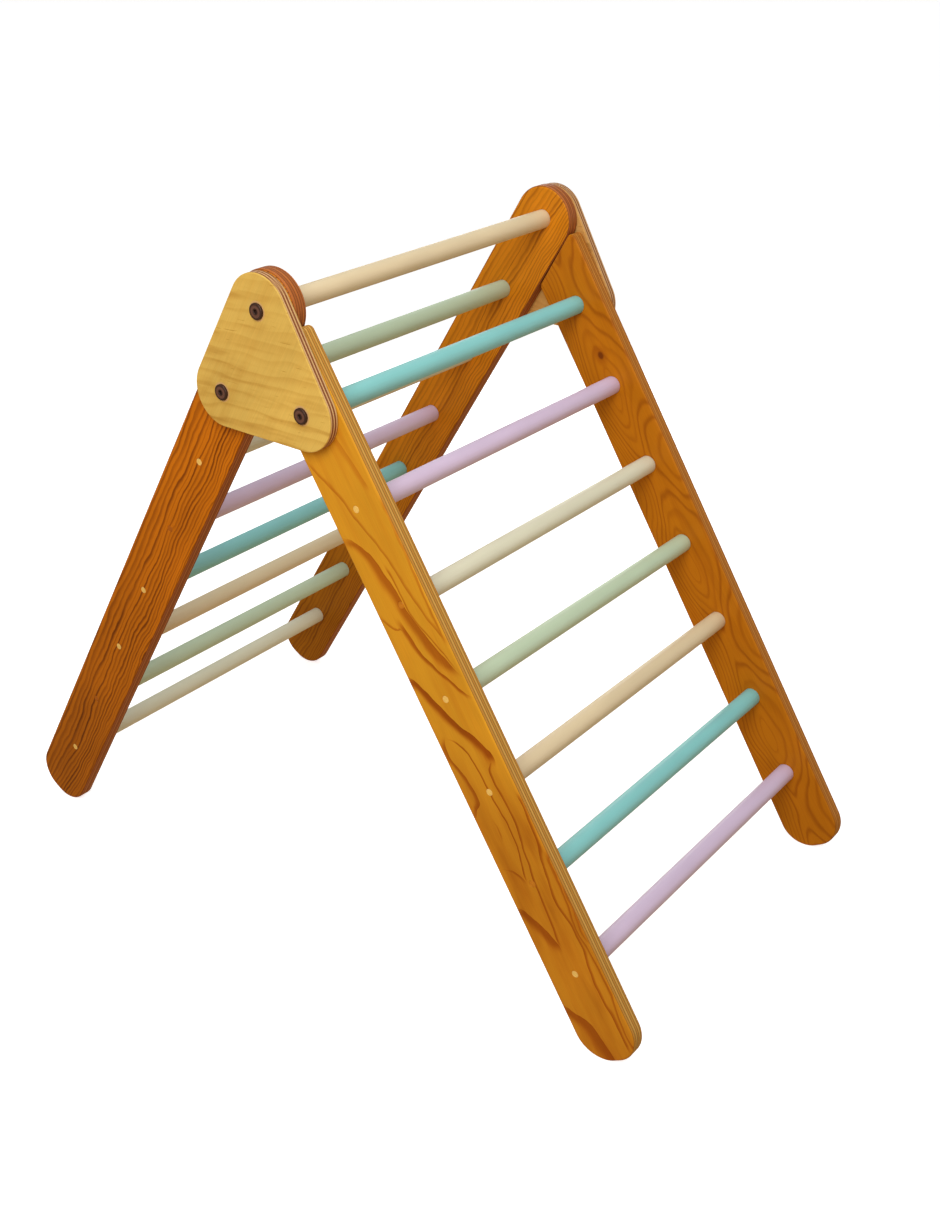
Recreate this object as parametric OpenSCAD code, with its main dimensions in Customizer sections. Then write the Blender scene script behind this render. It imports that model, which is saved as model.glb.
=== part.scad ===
// Folding climbing triangle: two ladders of painted dowel rungs between plywood rails, joined at
// the top by two gusset plates. The front ladder swings on the lower front bolts of the gussets.
// X runs from the rear ladder to the front one, Y along the rungs, Z up. The origin is on the
// floor, in the middle of the open frame. Left is -Y, right is +Y.

/* [Rails] */
// Width of a rail board across its face
rail_w = 77; // [66:1:84]
// Thickness of a rail board
rail_t = 18; // [16:1:24]
// Radius rolled over every long edge of a rail
rail_ease = 3; // [1:0.5:4]
// Length of a rear rail above the axis of the apex rung
head_over = 38.5; // [38.5:0.5:60]
// Length of a rear rail below the axis of its lowest rung
rear_foot = 97; // [60:1:140]
// Length of a front rail below the axis of its lowest rung
front_foot = 103; // [60:1:140]
// Flat left between the two round corners of a foot
foot_flat = 8; // [2:1:30]
// Radius of the pointed top corner of a front rail
tip_round = 7; // [5:0.5:12]
// Radius of the blunt top corner of a front rail
heel_round = 8; // [5:0.5:16]

/* [Rungs] */
// Diameter of a rung
rung_d = 22; // [18:0.5:28]
// Clear width between the rear rails
inside_w = 452; // [350:1:600]
// Distance between rung axes on the rear ladder
rear_pitch = 110; // [100:1:120]
// Distance between rung axes on the front ladder
front_pitch = 105; // [95:1:115]
// Depth of the blind socket that holds a rung's end
socket_l = 6; // [4:0.5:8]

/* [Hinge] */
// Angle between the two ladders when the frame stands open
spread = 63.2; // [55:0.2:72]
// Distance of the pivot from the centre line of the rear rails
pivot_reach = 94; // [90:0.5:110]
// Distance of the pivot below the apex rung, measured along the rear rails
pivot_drop = 54.5; // [40:0.5:75]
// Angle by which the mitred top of a front rail falls away from the rear rail below its tip
mitre_relief = 1.2; // [0.6:0.2:3]
// Gap left between the sharp tip of the mitre and the rear rail when the frame stands open
stop_gap = 0.1; // [0.1:0.1:1]
// Gap between a gusset and the face of the front rail that swings behind it
swing_gap = 0.3; // [0.2:0.1:1]

/* [Gussets] */
// Thickness of a gusset plate
gusset_t = 12; // [9:1:18]
// Radius of a gusset's corners, round its bolts
gusset_round = 37.5; // [24:0.5:45]
// Radius rolled over the edges of a gusset
gusset_ease = 2; // [0.5:0.5:4]

/* [Bolts and inserts] */
// Diameter of a bolt's shank
bolt_d = 6; // [5:0.5:8]
// Diameter of a bolt's flat head
bolt_head_d = 17; // [14:0.5:20]
// Thickness of a bolt's flat head
bolt_head_t = 2.6; // [2:0.1:4]
// Width across the flats of the hex socket in a bolt's head
bolt_key_w = 4; // [3:0.5:5]
// Depth of the hex socket in a bolt's head
bolt_key_l = 2; // [1:0.1:3]
// Length of bolt that reaches past the end of the rung
bolt_bite = 17; // [12:1:25]
// Diameter of a threaded insert over its outer ridges
insert_d = 10; // [9:0.5:12]
// Length of a threaded insert
insert_l = 13; // [10:1:20]

/* [Screws and plugs] */
// Diameter of a rung screw's shank
screw_d = 4; // [3:0.5:5]
// Diameter of a rung screw's head
screw_head_d = 7.4; // [6.4:0.2:7.6]
// Height of a rung screw's head
screw_head_t = 2.6; // [2:0.1:3]
// Length of screw that reaches past the end of the rung
screw_bite = 28; // [15:1:40]
// Diameter of the wooden plug over a screw
plug_d = 7.8; // [7.8:0.1:12]
// Length of the wooden plug over a screw
plug_l = 3.6; // [2:0.1:5]
// Depth of the plug's face below the face of the rail
plug_sink = 0.2; // [0:0.1:1]

/* [Fits] */
// Radial clearance of a rung in its socket
rung_fit = 0.1; // [0.05:0.05:0.4]
// Gap between a rung's end and the floor of its socket
end_gap = 0.2; // [0.1:0.1:1]
// Radial clearance of a bolt in a fixed hole
bolt_fit = 0.25; // [0.1:0.05:0.5]
// Radial clearance of a pivot bolt in the gusset that it turns in
pivot_fit = 0.08; // [0.04:0.01:0.1]
// Radial clearance of a bolt in its insert, and of an insert or screw in the wood
thread_fit = 0.05; // [0.05:0.05:0.2]
// Radial clearance of a wooden plug in its hole
plug_fit = 0.05; // [0.05:0.05:0.2]
// Gap between a pivot bolt's head and the gusset
head_gap = 0.2; // [0.1:0.1:0.5]

/* [Hidden] */

$fn = 72;
LEFT = -1;
RIGHT = 1;
// Overlap of a cutting tool past the face that it cuts
cut = 1;

// Paints of the rungs, which repeat in this order from the front foot over the top
peach = [0.90, 0.80, 0.68];
teal = [0.50, 0.76, 0.74];
lilac = [0.76, 0.70, 0.79];
cream = [0.85, 0.83, 0.76];
sage = [0.60, 0.68, 0.53];
rear_paints = [peach, sage, cream, lilac, teal, peach, sage, cream];
front_paints = [teal, lilac, cream, sage, peach, teal, lilac];
rear_wood = [0.62, 0.31, 0.09];
front_wood = [0.78, 0.49, 0.16];
gusset_wood = [0.80, 0.63, 0.27];
plug_wood = [0.85, 0.65, 0.35];
bronze = [0.22, 0.15, 0.12];
zinc = [0.70, 0.72, 0.74];

rear_last = len(rear_paints) - 1;
front_last = len(front_paints) - 1;
// Rungs of each ladder whose ends the gusset bolts hold; screws hold the others
rear_bolted = 2;
front_bolted = 1;

// Lengths of the rails from the first rung's axis to the foot
rear_reach = rear_last * rear_pitch + rear_foot;
front_reach = front_last * front_pitch + front_foot;
foot_r = (rail_w - foot_flat) / 2;
head_r = rail_w / 2;

// Half widths, from the middle plane out to the rails' inner faces and the gussets' outer faces
rear_in = inside_w / 2;
front_in = inside_w / 2 - swing_gap;
rail_out = rear_in + rail_t;
gusset_out = rail_out + gusset_t;

// The mitred top of a front rail, as the line n . p = mitre_c in the front ladder's own frame
mitre = spread - mitre_relief;
tip_z = (pivot_reach - rail_w / 2 - stop_gap + rail_w / 2 * cos(spread)) / sin(spread);
mitre_c = tip_z * sin(mitre) - rail_w / 2 * cos(mitre);
function mitre_z(x, inset) = (mitre_c - inset + x * cos(mitre)) / sin(mitre);

// Lean of the rear ladder at which its feet and the front ladder's feet stand level
rear_lean = atan2(
    rear_reach - foot_r - pivot_drop - (front_reach - foot_r) * cos(spread)
        - foot_flat / 2 * sin(spread),
    pivot_reach + (front_reach - foot_r) * sin(spread) - foot_flat / 2 * (1 + cos(spread))
);
front_lean = spread - rear_lean;

// Place of the apex rung's axis, with the feet on the floor and the frame centred on X = 0
apex_z = (rear_reach - foot_r) * cos(rear_lean) + foot_flat / 2 * sin(rear_lean) + foot_r;
back_x = (rear_reach - foot_r) * sin(rear_lean) + foot_flat / 2 * cos(rear_lean) + foot_r;
front_x = pivot_reach * cos(rear_lean) - pivot_drop * sin(rear_lean)
    + (front_reach - foot_r) * sin(front_lean) + foot_flat / 2 * cos(front_lean) + foot_r;
apex_x = (back_x - front_x) / 2;

// Depths of the rungs' ends below the gusset's outer face and the rail's outer face
rung_end = rail_t - socket_l + end_gap;
screw_seat = plug_sink + plug_l + screw_head_t;

// ---- Frames of the two ladders: Z runs up the rails, the origin is on the top rung's axis ----
module on_rear() {
    translate([apex_x, 0, apex_z]) rotate([0, rear_lean, 0]) children();
}

module on_front() {
    on_rear() translate([pivot_reach, 0, -pivot_drop]) rotate([0, -spread, 0]) children();
}

// Puts a piece that is drawn along +Z on a side face, so that it points to the middle plane
module inward(side, y) {
    translate([0, side * y, 0]) rotate([side * 90, 0, 0]) children();
}

// Stands a board that is drawn on the XY plane upright, between half widths y and y + thick
module upright(side, y, thick) {
    translate([0, side * (y + thick / 2) + thick / 2, 0]) rotate([90, 0, 0]) children();
}

// ---- Boards ----
// Round disc with both rims rolled over, which shapes one corner of a board
module corner_disc(radius, thick, ease) {
    rotate_extrude($fn = 32) {
        square([radius - ease, thick]);
        translate([0, ease]) square([radius, thick - 2 * ease]);
        for (y = [ease, thick - ease]) translate([radius - ease, y]) circle(ease, $fn = 12);
    }
}

// Board on the XY plane whose outline is the band round its corners [x, y, radius]
module board(corners, thick, ease) {
    hull() for (c = corners) translate([c.x, c.y]) corner_disc(c.z, thick, ease);
}

// Feet of a rail that ends at a reach below its first rung
function feet(reach) = [
    [-foot_flat / 2, foot_r - reach, foot_r],
    [foot_flat / 2, foot_r - reach, foot_r]
];

// ---- Holes of a rail, in the frame of inward(), with z = 0 on the rail's outer face ----
module rung_socket() {
    translate([0, 0, rail_t - socket_l])
        cylinder(d = rung_d + 2 * rung_fit, h = socket_l + cut);
}

module bolt_hole(d) {
    translate([0, 0, -cut]) cylinder(d = d, h = max(rail_t, gusset_t) + 2 * cut);
}

module screw_hole() {
    translate([0, 0, -cut]) cylinder(d = plug_d + 2 * plug_fit, h = screw_seat + cut);
    translate([0, 0, -cut]) cylinder(d = screw_d + 2 * bolt_fit, h = rail_t + cut);
}

// All holes of one rail: bolts hold its first rungs, and plugged screws the rest
module rail_holes(side, y, pitch, last, bolted) {
    for (i = [0:last]) translate([0, 0, -i * pitch]) inward(side, y) {
        rung_socket();
        if (i < bolted) bolt_hole(bolt_d + 2 * bolt_fit);
        else screw_hole();
    }
}

// ---- Rails and gussets ----
module rear_rail(side) {
    color(rear_wood) on_rear() difference() {
        upright(side, rear_in, rail_t)
            board(concat(feet(rear_reach), [[0, head_over - head_r, head_r]]), rail_t, rail_ease);
        rail_holes(side, rail_out, rear_pitch, rear_last, rear_bolted);
    }
}

module front_rail(side) {
    tip = [rail_w / 2 - tip_round, mitre_z(rail_w / 2 - tip_round, tip_round), tip_round];
    heel = [heel_round - rail_w / 2, mitre_z(heel_round - rail_w / 2, heel_round), heel_round];
    color(front_wood) on_front() difference() {
        upright(side, front_in, rail_t)
            board(concat(feet(front_reach), [tip, heel]), rail_t, rail_ease);
        rail_holes(side, front_in + rail_t, front_pitch, front_last, front_bolted);
    }
}

module gusset(side) {
    corners = [
        [0, -rear_pitch, gusset_round],
        [pivot_reach, -pivot_drop, gusset_round],
        [0, 0, gusset_round]
    ];
    color(gusset_wood) on_rear() difference() {
        upright(side, rail_out, gusset_t) board(corners, gusset_t, gusset_ease);
        for (z = [0, -rear_pitch])
            translate([0, 0, z]) inward(side, gusset_out) bolt_hole(bolt_d + 2 * bolt_fit);
        translate([pivot_reach, 0, -pivot_drop])
            inward(side, gusset_out) bolt_hole(bolt_d + 2 * pivot_fit);
    }
}

// ---- Rungs ----
// Stepped hole in a rung's end for a threaded insert and the bolt's tip
module insert_hole() {
    translate([0, 0, -cut]) cylinder(d = insert_d + 2 * thread_fit, h = insert_l + cut);
    cylinder(d = bolt_d + 2 * bolt_fit, h = max(bolt_bite, insert_l) + 2 * end_gap);
}

module pilot_hole() {
    translate([0, 0, -cut]) cylinder(d = screw_d + 2 * thread_fit, h = screw_bite + end_gap + cut);
}

// A rung that is seated between rails whose inner faces are at half width y
module rung(y, paint, bolted) {
    half = y + socket_l - end_gap;
    color(paint) difference() {
        rotate([90, 0, 0]) cylinder(d = rung_d, h = 2 * half, center = true);
        for (side = [LEFT, RIGHT]) inward(side, half) {
            if (bolted) insert_hole();
            else pilot_hole();
        }
    }
}

module rear_rung(i) {
    on_rear() translate([0, 0, -i * rear_pitch]) rung(rear_in, rear_paints[i], i < rear_bolted);
}

module front_rung(i) {
    on_front() translate([0, 0, -i * front_pitch])
        rung(front_in, front_paints[i], i < front_bolted);
}

// ---- Fasteners, drawn along +Z with z = 0 on the face that they enter ----
// Bolt whose rung ends at a depth below the gusset's face, with a gap under its head
module bolt(depth, gap) {
    tip_cut = bolt_d / 6;
    length = depth + bolt_bite + gap;
    color(bronze) translate([0, 0, -gap]) difference() {
        union() {
            rotate_extrude() polygon([
                [0, 0], [bolt_d / 2, 0], [bolt_d / 2, length - tip_cut],
                [bolt_d / 2 - tip_cut, length], [0, length]
            ]);
            rotate_extrude() polygon([
                [0, -bolt_head_t], [bolt_head_d / 2 - bolt_head_t / 3, -bolt_head_t],
                [bolt_head_d / 2, -bolt_head_t * 2 / 3], [bolt_head_d / 2, 0], [0, 0]
            ]);
        }
        translate([0, 0, -bolt_head_t - cut])
            cylinder(d = bolt_key_w / cos(30), h = bolt_key_l + cut, $fn = 6);
    }
}

// Threaded insert with coarse outer ridges, flush with the rung's end
module insert() {
    ridges = 4;
    ridge_l = insert_l / ridges;
    ridge_h = insert_d / 12;
    color(zinc) rotate_extrude() polygon(concat(
        [[bolt_d / 2 + thread_fit, insert_l], [bolt_d / 2 + thread_fit, 0]],
        [for (i = [0:ridges - 1]) each [
            [insert_d / 2, i * ridge_l], [insert_d / 2, (i + 0.4) * ridge_l],
            [insert_d / 2 - ridge_h, (i + 0.6) * ridge_l],
            [insert_d / 2 - ridge_h, (i + 0.9) * ridge_l]
        ]],
        [[insert_d / 2 - ridge_h, insert_l]]
    ));
}

module screw() {
    point_l = screw_d;
    slot_w = screw_d / 5;
    head_z = plug_sink + plug_l;
    color(zinc) difference() {
        rotate_extrude() polygon([
            [0, head_z], [screw_head_d / 2 - screw_head_t / 3, head_z],
            [screw_head_d / 2, head_z + screw_head_t / 2],
            [screw_head_d / 2, screw_seat], [screw_d / 2, screw_seat],
            [screw_d / 2, rung_end + screw_bite - point_l], [0, rung_end + screw_bite]
        ]);
        for (a = [0, 90]) rotate(a)
            translate([-screw_d / 2, -slot_w / 2, head_z - cut])
                cube([screw_d, slot_w, cut + screw_head_t / 2]);
    }
}

module plug() {
    color(plug_wood) translate([0, 0, plug_sink]) cylinder(d = plug_d, h = plug_l);
}

module apex_bolt(side) {
    on_rear() inward(side, gusset_out) bolt(gusset_t + rung_end, 0);
}

module rear_bolt(side) {
    on_rear() translate([0, 0, -rear_pitch])
        inward(side, gusset_out) bolt(gusset_t + rung_end, 0);
}

module pivot_bolt(side) {
    on_front() inward(side, gusset_out) bolt(gusset_t + swing_gap + rung_end, head_gap);
}

// Inserts in both ends of the rear ladder's rung i
module rear_insert_pair(i) {
    on_rear() translate([0, 0, -i * rear_pitch])
        for (side = [LEFT, RIGHT]) inward(side, rail_out - rung_end) insert();
}

module pivot_insert_pair() {
    on_front() for (side = [LEFT, RIGHT]) inward(side, front_in + rail_t - rung_end) insert();
}

// A copy of a fastener at both ends of every screwed rung
module each_rear_screw() {
    on_rear() for (i = [rear_bolted:rear_last], side = [LEFT, RIGHT])
        translate([0, 0, -i * rear_pitch]) inward(side, rail_out) children();
}

module each_front_screw() {
    on_front() for (i = [front_bolted:front_last], side = [LEFT, RIGHT])
        translate([0, 0, -i * front_pitch]) inward(side, front_in + rail_t) children();
}

rear_rail(LEFT);  // rear_rail_left
rear_rail(RIGHT);  // rear_rail_right
front_rail(LEFT);  // front_rail_left
front_rail(RIGHT);  // front_rail_right
gusset(LEFT);  // gusset_left
gusset(RIGHT);  // gusset_right
rear_rung(0);  // apex_rung
rear_rung(1);  // rear_rung_1
rear_rung(2);  // rear_rung_2
rear_rung(3);  // rear_rung_3
rear_rung(4);  // rear_rung_4
rear_rung(5);  // rear_rung_5
rear_rung(6);  // rear_rung_6
rear_rung(7);  // rear_rung_7
front_rung(0);  // pivot_rung
front_rung(1);  // front_rung_1
front_rung(2);  // front_rung_2
front_rung(3);  // front_rung_3
front_rung(4);  // front_rung_4
front_rung(5);  // front_rung_5
front_rung(6);  // front_rung_6
apex_bolt(LEFT);  // apex_bolt_left
apex_bolt(RIGHT);  // apex_bolt_right
rear_bolt(LEFT);  // rear_bolt_left
rear_bolt(RIGHT);  // rear_bolt_right
pivot_bolt(LEFT);  // pivot_bolt_left
pivot_bolt(RIGHT);  // pivot_bolt_right
rear_insert_pair(0);  // apex_inserts
rear_insert_pair(1);  // rear_inserts
pivot_insert_pair();  // pivot_inserts
each_rear_screw() screw();  // rear_screws
each_front_screw() screw();  // front_screws
each_rear_screw() plug();  // rear_plugs
each_front_screw() plug();  // front_plugs
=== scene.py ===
"""Folding climbing triangle: the wood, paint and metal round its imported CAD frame.

Lengths are metres. The solid textures work in millimetres in a piece's own frame: on a board, x
runs across the rail towards the front, y through the boards and z up the rail.
"""

import math

import bmesh
import bpy
from bpy.props import FloatProperty, FloatVectorProperty, IntProperty, PointerProperty
from mathutils import Matrix, Vector


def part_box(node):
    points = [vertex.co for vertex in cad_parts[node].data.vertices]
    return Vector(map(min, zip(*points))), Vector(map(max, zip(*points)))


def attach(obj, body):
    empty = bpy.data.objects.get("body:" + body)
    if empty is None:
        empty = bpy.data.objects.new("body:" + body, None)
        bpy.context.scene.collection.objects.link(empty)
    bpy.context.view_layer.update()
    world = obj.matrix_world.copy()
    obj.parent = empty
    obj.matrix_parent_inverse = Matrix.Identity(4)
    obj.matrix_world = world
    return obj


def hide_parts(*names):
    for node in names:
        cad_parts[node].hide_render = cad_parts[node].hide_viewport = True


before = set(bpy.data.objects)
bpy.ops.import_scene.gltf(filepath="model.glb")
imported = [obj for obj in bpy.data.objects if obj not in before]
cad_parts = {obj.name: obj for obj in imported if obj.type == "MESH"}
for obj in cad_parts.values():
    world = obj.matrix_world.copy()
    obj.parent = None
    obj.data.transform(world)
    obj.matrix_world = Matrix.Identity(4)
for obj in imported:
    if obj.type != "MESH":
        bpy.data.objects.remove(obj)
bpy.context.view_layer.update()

bl_info = {
    "name": "Climbing Triangle",
    "version": (1, 0, 0),
    "blender": (4, 5, 0),
    "location": "3D View > Sidebar > Climbing Triangle",
    "description": "Dresses the frame of a folding climbing triangle in wood, paint and metal",
    "category": "Object",
}

MM = 0.001
# Reach of a cutting tool past the face that it cuts
SPARE = 1 * MM
Y_AXIS = Vector((0, 1, 0))
SIDES = {"left": -1, "right": 1}
REAR_RUNGS = ["apex_rung"] + [f"rear_rung_{i}" for i in range(1, 8)]
FRONT_RUNGS = ["pivot_rung"] + [f"front_rung_{i}" for i in range(1, 7)]
# Rungs of each ladder that the gusset bolts hold; plugged screws hold the rest
REAR_BOLTED = 2
FRONT_BOLTED = 1
REAR_PAINTS = ["peach", "sage", "cream", "lilac", "teal", "peach", "sage", "cream"]
FRONT_PAINTS = ["teal", "lilac", "cream", "sage", "peach", "teal", "lilac"]
# Rungs whose left plug is cut from darker wood and hardly shows
DARK_PLUGS = {"rear": (3, 6), "front": (2, 5)}
# Layers of a board, with its two face veneers
PLIES = 7
# Thickness of the face veneers, in millimetres
VENEER = 1.3
REAR_VENEER = 0.8
# The one knot, in the right front rail: x, z and radius in millimetres
KNOTS = {"left": (), "right": ((2.9, -67.0, 3.3),)}
# Points round what is turned on an axis
HOLE_SIDES, BOLT_SIDES, PLUG_SIDES, HEX_SIDES = 64, 72, 32, 6
# Angles in degrees above which the shading of boards and of turned pieces breaks
BOARD_CORNER, TURNED_CORNER = 35, 30


# ---- Places, read from the frame ----
def middle(node):
    low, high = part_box(node)
    return (low + high) / 2


def ladder(rungs):
    """Frame of a ladder: Z up its rails, X across them, origin on its first rung's axis."""
    origin = middle(rungs[0])
    up = (origin - middle(rungs[-1])).normalized()
    place = Matrix((Y_AXIS.cross(up), Y_AXIS, up)).transposed().to_4x4()
    place.translation = origin
    return place


def extent(node, place):
    """Lowest and highest corner of a CAD node in a ladder's frame."""
    back = place.inverted()
    points = [back @ v.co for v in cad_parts[node].data.vertices]
    return [Vector(map(pick, zip(*points))) for pick in (min, max)]


REAR = ladder(REAR_RUNGS)
FRONT = ladder(FRONT_RUNGS)


# ---- What a user may change ----
def length(name, description, millimetres):
    return FloatProperty(
        name=name, description=description, default=millimetres * MM, min=0, unit="LENGTH",
        precision=5,
    )


def colour(name, description, red, green, blue):
    """Colour property whose default is given as it shows on a screen, from 0 to 255."""
    linear = [(c / 255 / 12.92) if c < 11 else ((c / 255 + 0.055) / 1.055) ** 2.4
              for c in (red, green, blue)]
    return FloatVectorProperty(
        name=name, description=description, default=linear, size=3, min=0, max=1, subtype="COLOR"
    )


class TriangleShapes(bpy.types.PropertyGroup):
    """Sizes of the boards and fasteners that the frame doesn't give."""

    rail_edge: length("Rail edge", "Radius rolled over every edge of a rail", 3)
    foot_flat: length("Foot flat", "Flat between the two round corners of a foot", 8)
    tip_round: length("Tip radius", "Radius of a front rail's pointed top corner", 7)
    heel_round: length("Heel radius", "Radius of a front rail's blunt top corner", 8)
    mitre_relief: FloatProperty(
        name="Mitre relief", description="Angle by which the mitre falls away from the rear rail",
        default=math.radians(1.2), subtype="ANGLE",
    )
    gusset_edge: length("Gusset edge", "Radius rolled over the edges of a gusset", 1.3)
    socket_depth: length("Socket depth", "Depth of the blind socket that holds a rung", 6)
    socket_radius: length("Socket radius", "Radius of a rung's socket", 11.1)
    plug_hole: length("Plug hole radius", "Radius of the hole that a plug closes", 3.95)
    plug_hole_depth: length("Plug hole depth", "Depth of a plug's hole, with the screw's head", 6.4)
    screw_hole: length("Screw hole radius", "Radius of the hole for a rung screw", 2.25)
    bolt_hole: length("Bolt hole radius", "Radius of the hole for a bolt", 3.25)
    pivot_hole: length("Pivot hole radius", "Radius of the gusset's hole for a pivot bolt", 3.08)
    hole_rim: length("Hole rim", "Width of the broken edge of a hole", 0.25)
    bolt_shank: length("Bolt shank radius", "Radius of a bolt's shank", 3)
    bolt_head: length("Bolt head thickness", "Thickness of a bolt's head", 2.6)
    bolt_rim: length("Bolt rim", "Radius rolled over the rim of a bolt's head", 0.9)
    bolt_key: length("Bolt key", "Width across the flats of a bolt's hex socket", 4)
    bolt_key_depth: length("Bolt key depth", "Depth of a bolt's hex socket", 2)
    plug_radius: length("Plug radius", "Radius of a wooden plug", 3.9)
    plug_length: length("Plug length", "Length of a wooden plug", 3.6)
    plug_edge: length("Plug edge", "Broken edge round a plug's face", 0.3)
    arc_step: FloatProperty(
        name="Arc step", description="Angle between two points of an outline's round stretches",
        default=math.radians(3), subtype="ANGLE",
    )
    roll_steps: IntProperty(
        name="Roll steps", description="Facets across the rolled edge of a board", default=7, min=1
    )


class TriangleColours(bpy.types.PropertyGroup):
    """Colours of the woods, paints and metals."""

    front_left_early: colour("Left front wood", "Earlywood of the left front rail", 214, 150, 36)
    front_left_late: colour("Left front rings", "Latewood of the left front rail", 186, 84, 5)
    front_right_early: colour("Right front wood", "Earlywood of the right front rail", 190, 113, 14)
    front_right_late: colour("Right front rings", "Latewood of the right front rail", 154, 74, 6)
    rear_left_early: colour("Left rear wood", "Earlywood of the left rear rail", 202, 112, 10)
    rear_left_late: colour("Left rear rings", "Latewood of the left rear rail", 128, 57, 4)
    rear_right_early: colour("Right rear wood", "Earlywood of the right rear rail", 215, 131, 21)
    rear_right_late: colour("Right rear rings", "Latewood of the right rear rail", 136, 66, 5)
    front_left_ply_light: colour(
        "Left front plies", "Side grain of the left front rail's plies", 210, 158, 76)
    front_left_ply_dark: colour(
        "Left front end grain", "End grain of the left front rail's plies", 192, 134, 56)
    front_right_ply_light: colour(
        "Right front plies", "Side grain of the right front rail's plies", 200, 130, 50)
    front_right_ply_dark: colour(
        "Right front end grain", "End grain of the right front rail's plies", 184, 112, 38)
    rear_ply_light: colour("Rear plies", "Side grain of the rear rails' plies", 184, 106, 50)
    rear_ply_dark: colour("Rear end grain", "End grain of the rear rails' plies", 162, 91, 45)
    gusset_left_early: colour("Left gusset wood", "Earlywood of the left gusset", 216, 178, 88)
    gusset_left_late: colour("Left gusset rings", "Latewood of the left gusset", 188, 130, 42)
    gusset_right_early: colour("Right gusset wood", "Earlywood of the right gusset", 208, 158, 88)
    gusset_right_late: colour("Right gusset rings", "Latewood of the right gusset", 182, 122, 52)
    gusset_ply_light: colour("Gusset plies", "Side grain of the gussets' plies", 222, 176, 120)
    gusset_ply_dark: colour("Gusset end grain", "End grain of the gussets' plies", 144, 80, 46)
    peach: colour("Peach", "Peach paint", 224, 203, 163)
    sage: colour("Sage", "Sage green paint", 190, 208, 176)
    cream: colour("Cream", "Cream paint", 221, 217, 189)
    lilac: colour("Lilac", "Lilac paint", 213, 191, 215)
    teal: colour("Teal", "Teal paint", 134, 203, 200)
    bronze: colour("Bronze", "Bronzed steel of the bolts", 100, 68, 58)
    zinc: colour("Zinc", "Zinc plated steel of the inserts and screws", 190, 194, 198)
    plug: colour("Plug wood", "Light wood of the plugs", 238, 194, 104)
    floor: colour("Floor", "Pale floor", 246, 246, 246)


class TriangleStage(bpy.types.PropertyGroup):
    """Camera, light and floor."""

    camera_place: FloatVectorProperty(
        name="Camera place", description="Where the camera stands", subtype="TRANSLATION",
        unit="LENGTH", default=(1.0723, -1.2791, 1.1313),
    )
    camera_azimuth: FloatProperty(
        name="Azimuth", description="Turn of the camera from looking along +Y to looking along -X",
        default=math.radians(37.867), subtype="ANGLE",
    )
    camera_elevation: FloatProperty(
        name="Elevation", description="Angle by which the camera looks down",
        default=math.radians(26.394), subtype="ANGLE",
    )
    camera_roll: FloatProperty(
        name="Roll", description="Tilt of the picture", default=math.radians(-1.338),
        subtype="ANGLE",
    )
    camera_lens: FloatProperty(
        name="Lens", description="Focal length on a sensor 36 mm high", default=45.250,
        unit="CAMERA",
    )
    key_power: FloatProperty(
        name="Key light", description="Power of the soft light over the front", default=27,
        unit="POWER",
    )
    top_power: FloatProperty(
        name="Top light", description="Power of the soft light overhead", default=16, unit="POWER"
    )
    fill_power: FloatProperty(
        name="Fill light", description="Power of the soft light from behind", default=7,
        unit="POWER",
    )
    sky: colour("Sky", "Even light from above", 152, 152, 152)
    horizon: colour("Horizon", "Narrow band of light all round", 250, 250, 250)
    bounce: colour("Bounce", "Warm light from below", 182, 152, 110)
    floor_glow: FloatProperty(
        name="Floor glow", description="Light that the floor gives of itself", default=0.7
    )
    floor_size: length("Floor size", "Width of the floor and the backdrop", 60000)


def shapes():
    return bpy.context.scene.triangle_shapes


def colours():
    return bpy.context.scene.triangle_colours


# ---- Meshes ----
def outline(corners, inset, step):
    """Points of the band round corners (x, z, radius), counter-clockwise, moved in by inset."""
    normals = []
    for (ax, az, a_radius), (bx, bz, b_radius) in zip(corners, corners[1:] + corners[:1]):
        lean = math.asin((a_radius - b_radius) / math.hypot(bx - ax, bz - az))
        normals.append(math.atan2(bz - az, bx - ax) - math.pi / 2 + lean)
    points = []
    for (x, z, radius), start, end in zip(corners, normals[-1:] + normals, normals):
        turn = (end - start) % math.tau
        count = max(2, math.ceil(turn / step))
        for i in range(count + 1):
            angle = start + turn * i / count
            points.append((x + (radius - inset) * math.cos(angle),
                           z + (radius - inset) * math.sin(angle)))
    return points


def new_piece(name, mesh, place=Matrix()):
    """Object from a bmesh that is drawn in a frame, with all its normals pointing outwards."""
    mesh.transform(place)
    bmesh.ops.recalc_face_normals(mesh, faces=mesh.faces)
    data = bpy.data.meshes.new(name)
    mesh.to_mesh(data)
    mesh.free()
    piece = bpy.data.objects.new(name, data)
    bpy.context.scene.collection.objects.link(piece)
    return piece


def stack(mesh, rings):
    """Skins a stack of rings of points and closes both its ends."""
    rows = [[mesh.verts.new(point) for point in ring] for ring in rings]
    for low, high in zip(rows, rows[1:]):
        for i, corner in enumerate(low):
            mesh.faces.new((low[i - 1], corner, high[i], high[i - 1]))
    mesh.faces.new(rows[0])
    mesh.faces.new(rows[-1])


def board(name, corners, low, high, roll, place):
    """Board between two depths y, whose outline is the band round its corners."""
    size = shapes()
    count = size.roll_steps
    turns = [math.pi / 2 * i / count for i in range(count + 1)]
    rolled = [(roll * (1 - math.cos(a)), roll * (1 - math.sin(a))) for a in turns]
    levels = [(low + depth, inset) for depth, inset in rolled]
    levels += [(high - depth, inset) for depth, inset in reversed(rolled)]
    mesh = bmesh.new()
    stack(mesh, [[(x, y, z) for x, z in outline(corners, inset, size.arc_step)]
                 for y, inset in levels])
    return new_piece(name, mesh, place)


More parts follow.
